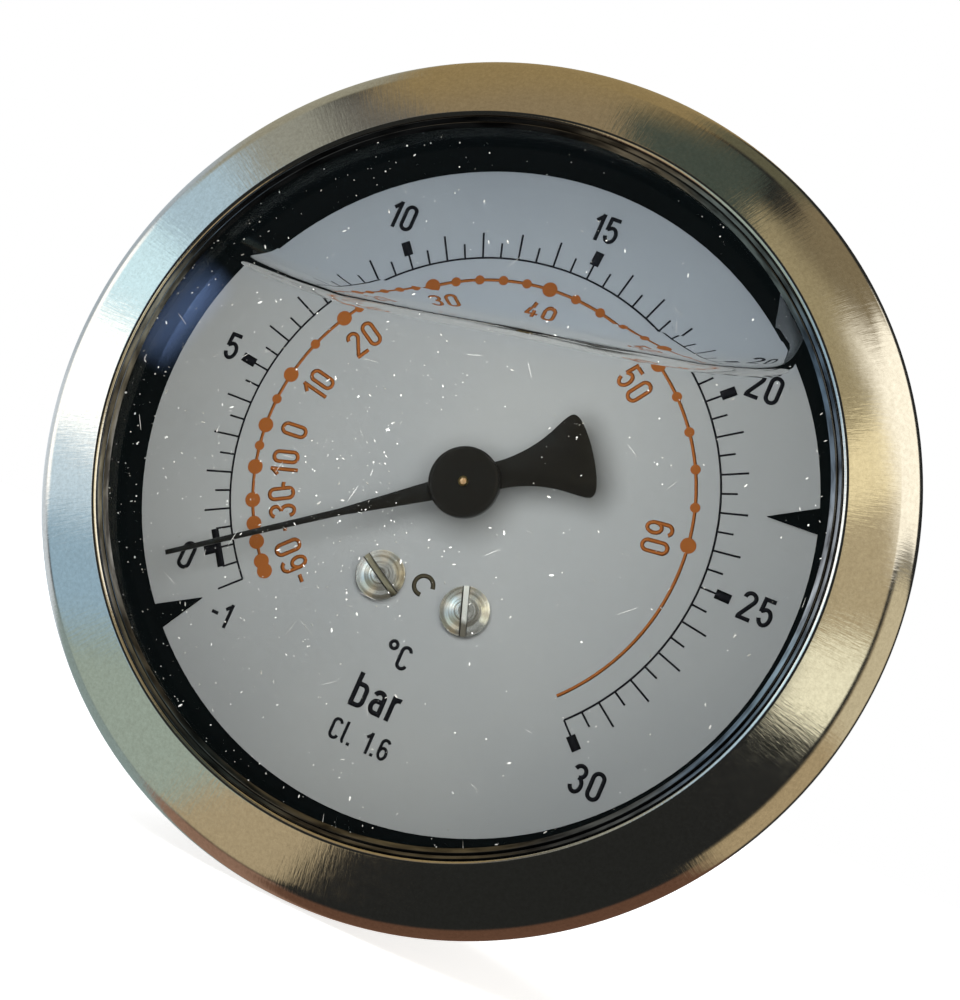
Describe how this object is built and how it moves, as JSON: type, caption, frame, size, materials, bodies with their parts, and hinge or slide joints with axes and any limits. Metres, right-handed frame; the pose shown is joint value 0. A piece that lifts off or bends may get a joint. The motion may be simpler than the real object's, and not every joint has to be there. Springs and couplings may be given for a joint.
{
  "type": "pressure gauge",
  "caption": "Round liquid-filled refrigerant pressure gauge with crimped bezel, clear window, pointer and Bourdon-tube movement, threaded stem at the back.",
  "frame": {"origin": "on the stem's axis at the shoulder where the connection thread starts", "axes": "+Y along the thread, away from the dial; the dial faces -Y; +Z is twelve o'clock; +X is three o'clock"},
  "size_m": [0.069, 0.0605, 0.069],
  "materials": {
    "case_steel": "satin deep-drawn stainless steel",
    "bezel_steel": "polished stainless steel",
    "window": "clear moulded acrylic",
    "gasket": "matt dark sealing rubber",
    "inner_ring": "glossy black moulded plastic",
    "dial": "matt white enamel",
    "dial_screws": "turned, plated",
    "pointer": "satin black",
    "movement_brass": "stamped and turned brass",
    "arbor": "turned brass",
    "tube": "drawn bronze",
    "hairspring": "rolled bronze strip",
    "socket": "milled and turned brass",
    "small_screws": "plated steel",
    "rubber": "matt black rubber"
  },
  "bodies": {
    "housing": {"case": "case_steel", "bezel_ring": "bezel_steel", "window": "window", "window_gasket": "gasket", "dial_ring": "inner_ring", "dial": "dial", "dial_posts": "movement_brass", "dial_screws": "dial_screws", "hairspring": "hairspring", "hairspring_stud": "movement_brass", "front_plate": "movement_brass", "rear_plate": "movement_brass", "plate_pillars": "movement_brass", "plate_screws": "small_screws", "movement_screws": "small_screws", "bourdon_tube": "tube", "socket": "socket", "restrictor": "arbor", "stem_seal": "rubber", "case_screws": "small_screws", "fill_plug": "rubber"},
    "pointer": {"pointer": "pointer", "pointer_hub": "pointer", "pinion_arbor": "arbor", "hairspring_collet": "arbor"},
    "sector": {"sector_gear": "movement_brass", "sector_arbor": "arbor", "link_pin": "small_screws"},
    "link": {"link": "movement_brass"},
    "tube_end": {"tube_tip": "movement_brass", "tip_pin": "small_screws"}
  },
  "joints": [
    {"name": "sector_swing", "type": "hinge", "parent": "housing", "child": "sector", "pos_m": [0.016, -0.03055, 0], "axis": [0, -1, 0], "range_deg": [-1, 29], "stiffness_Nm_per_rad": 0.05},
    {"name": "pointer_turn", "type": "hinge", "parent": "housing", "child": "pointer", "pos_m": [0, -0.03055, 0], "axis": [0, 1, 0], "range_deg": [-9, 261], "deforming": ["hairspring"]},
    {"name": "link_swing", "type": "hinge", "parent": "sector", "child": "link", "pos_m": [0.02035, -0.0297, -0.00116], "axis": [0, -1, 0], "range_deg": [-26.2, 0.95]},
    {"name": "tube_uncoil", "type": "hinge", "parent": "housing", "child": "tube_end", "pos_m": [-0.00734, -0.0297, 0.00424], "axis": [0, -1, 0], "range_deg": [-0.17, 4.7], "deforming": ["bourdon_tube"]}
  ],
  "couplings": [
    {"joint": "pointer_turn", "follows": "sector_swing", "ratio": 9},
    {"joint": "link_swing", "follows": "sector_swing", "ratio": -0.8955},
    {"joint": "tube_uncoil", "follows": "sector_swing", "ratio": 0.161}
  ]
}
